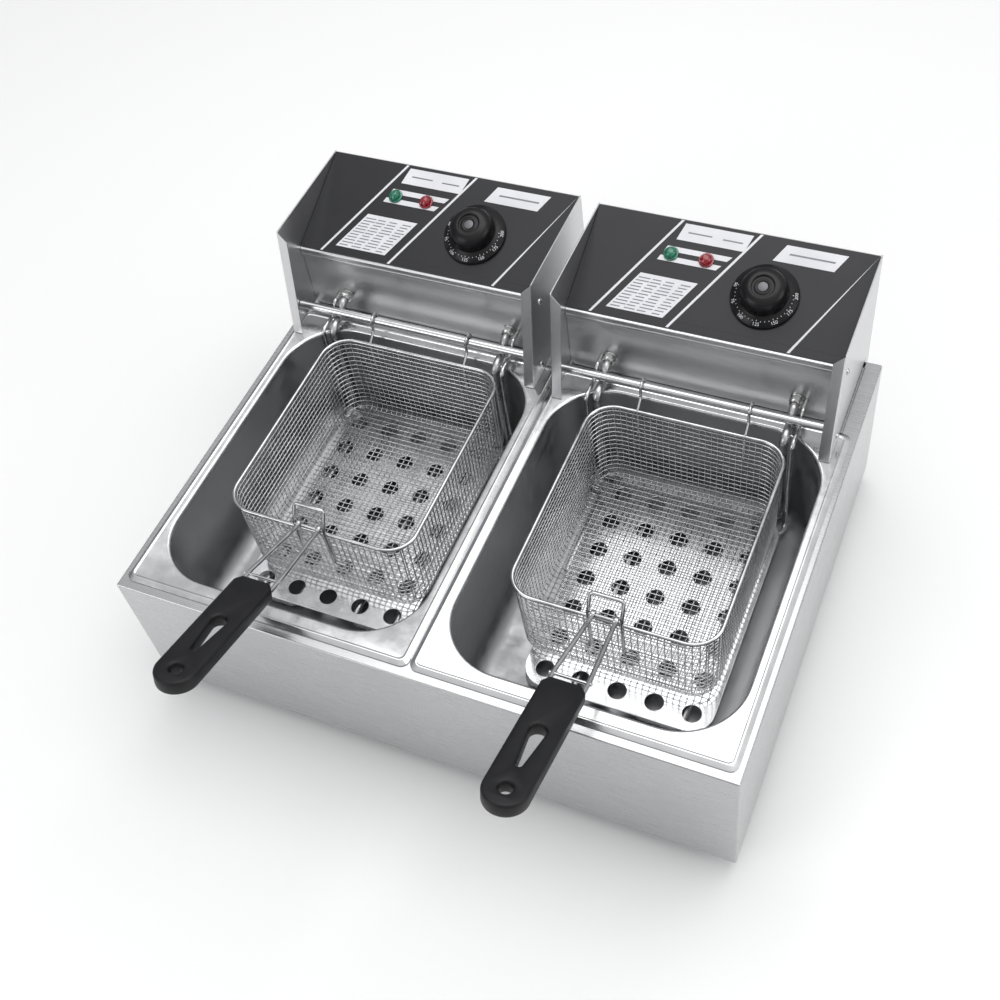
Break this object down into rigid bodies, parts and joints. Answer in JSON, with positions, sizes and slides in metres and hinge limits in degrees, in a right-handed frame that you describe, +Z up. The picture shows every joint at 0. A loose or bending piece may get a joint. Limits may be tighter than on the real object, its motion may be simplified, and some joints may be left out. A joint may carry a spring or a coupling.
{
  "type": "countertop deep fryer",
  "caption": "Countertop electric deep fryer: stainless casing with side-by-side lift-out oil tanks, control heads with knob and lamps, and hung wire baskets with folding handles.",
  "frame": {"origin": "middle of the whole object's footprint, on the worktop under the feet", "axes": "+X to the right as the user faces the fryer, +Y away from the user (handles point to -Y), +Z up"},
  "size_m": [0.56, 0.589, 0.2845],
  "materials": {
    "brushed_steel": "satin stainless sheet",
    "polished_steel": "bright drawn stainless",
    "basket_wire": "bright plated wire",
    "element_sheath": "dull steel tube",
    "plated_fitting": "bright nickel plate",
    "galvanised_steel": "dull zinc-coated sheet",
    "black_fascia": "semi-gloss black film on sheet",
    "black_plastic": "satin black moulding",
    "red_plastic": "glossy red moulding",
    "cream_plastic": "matt cream moulding",
    "green_lens": "translucent green lens",
    "red_lens": "translucent red lens",
    "foot_rubber": "matt black rubber"
  },
  "bodies": {
    "casing": {"casing_shell": "brushed_steel", "rear_deck": "brushed_steel", "base_plate": "galvanised_steel", "centre_bar": "brushed_steel", "foot_front_left": "foot_rubber", "foot_front_right": "foot_rubber", "foot_rear_left": "foot_rubber", "foot_rear_right": "foot_rubber"},
    "left_tank_body": {"left_tank": "polished_steel"},
    "left_head": {"left_heating_element": "element_sheath", "left_head_side_left": "brushed_steel", "left_head_side_right": "brushed_steel", "left_element_nut_left": "plated_fitting", "left_element_nut_right": "plated_fitting", "left_thermostat_probe": "polished_steel", "left_limit_probe": "polished_steel", "left_guard_plate": "polished_steel", "left_head_tray": "brushed_steel", "left_back_cover": "brushed_steel", "left_control_panel": "black_fascia", "left_cord_gland": "black_plastic", "left_limit_switch": "cream_plastic", "left_thermostat": "galvanised_steel", "left_green_lamp": "green_lens", "left_red_lamp": "red_lens", "left_hanging_rod": "polished_steel", "left_terminal_block": "cream_plastic"},
    "left_knob_body": {"left_knob": "black_plastic", "left_knob_spindle": "plated_fitting"},
    "left_reset_body": {"left_reset_button": "red_plastic"},
    "left_basket": {"left_basket_mesh": "basket_wire", "left_basket_frame": "basket_wire"},
    "left_handle": {"left_handle_wire": "basket_wire", "left_handle_grip": "black_plastic"},
    "right_tank_body": {"right_tank": "polished_steel"},
    "right_head": {"right_heating_element": "element_sheath", "right_head_side_left": "brushed_steel", "right_head_side_right": "brushed_steel", "right_element_nut_left": "plated_fitting", "right_element_nut_right": "plated_fitting", "right_thermostat_probe": "polished_steel", "right_limit_probe": "polished_steel", "right_guard_plate": "polished_steel", "right_head_tray": "brushed_steel", "right_back_cover": "brushed_steel", "right_control_panel": "black_fascia", "right_cord_gland": "black_plastic", "right_limit_switch": "cream_plastic", "right_thermostat": "galvanised_steel", "right_green_lamp": "green_lens", "right_red_lamp": "red_lens", "right_hanging_rod": "polished_steel", "right_terminal_block": "cream_plastic"},
    "right_knob_body": {"right_knob": "black_plastic", "right_knob_spindle": "plated_fitting"},
    "right_reset_body": {"right_reset_button": "red_plastic"},
    "right_basket": {"right_basket_mesh": "basket_wire", "right_basket_frame": "basket_wire"},
    "right_handle": {"right_handle_wire": "basket_wire", "right_handle_grip": "black_plastic"}
  },
  "joints": [
    {"name": "left_tank_lift", "type": "slide", "parent": "casing", "child": "left_tank_body", "axis": [0, 0, 1], "range_m": [0, 0.13]},
    {"name": "left_head_lift", "type": "slide", "parent": "left_tank_body", "child": "left_head", "axis": [0, 0, 1], "range_m": [0, 0.13]},
    {"name": "left_knob_turn", "type": "hinge", "parent": "left_head", "child": "left_knob_body", "pos_m": [-0.09975, 0.22198, 0.25642], "axis": [0, 0.3827, -0.9239], "range_deg": [0, 280]},
    {"name": "left_reset_press", "type": "slide", "parent": "left_head", "child": "left_reset_body", "axis": [0, -1, 0], "range_m": [0, 0.003], "stiffness_N_per_m": 200, "springref_m": -0.003},
    {"name": "left_basket_lift", "type": "slide", "parent": "left_head", "child": "left_basket", "axis": [0, 0, 1], "range_m": [0, 0.11]},
    {"name": "left_handle_fold", "type": "hinge", "parent": "left_basket", "child": "left_handle", "pos_m": [-0.13775, -0.08191, 0.1755], "axis": [-1, 0, 0], "range_deg": [0, 80]},
    {"name": "right_tank_lift", "type": "slide", "parent": "casing", "child": "right_tank_body", "axis": [0, 0, 1], "range_m": [0, 0.13]},
    {"name": "right_head_lift", "type": "slide", "parent": "right_tank_body", "child": "right_head", "axis": [0, 0, 1], "range_m": [0, 0.13]},
    {"name": "right_knob_turn", "type": "hinge", "parent": "right_head", "child": "right_knob_body", "pos_m": [0.17755, 0.21728, 0.25642], "axis": [0, 0.3827, -0.9239], "range_deg": [0, 280]},
    {"name": "right_reset_press", "type": "slide", "parent": "right_head", "child": "right_reset_body", "axis": [0, -1, 0], "range_m": [0, 0.003], "stiffness_N_per_m": 200, "springref_m": -0.003},
    {"name": "right_basket_lift", "type": "slide", "parent": "right_head", "child": "right_basket", "axis": [0, 0, 1], "range_m": [0, 0.11]},
    {"name": "right_handle_fold", "type": "hinge", "parent": "right_basket", "child": "right_handle", "pos_m": [0.13775, -0.08661, 0.1755], "axis": [-1, 0, 0], "range_deg": [0, 80]}
  ]
}
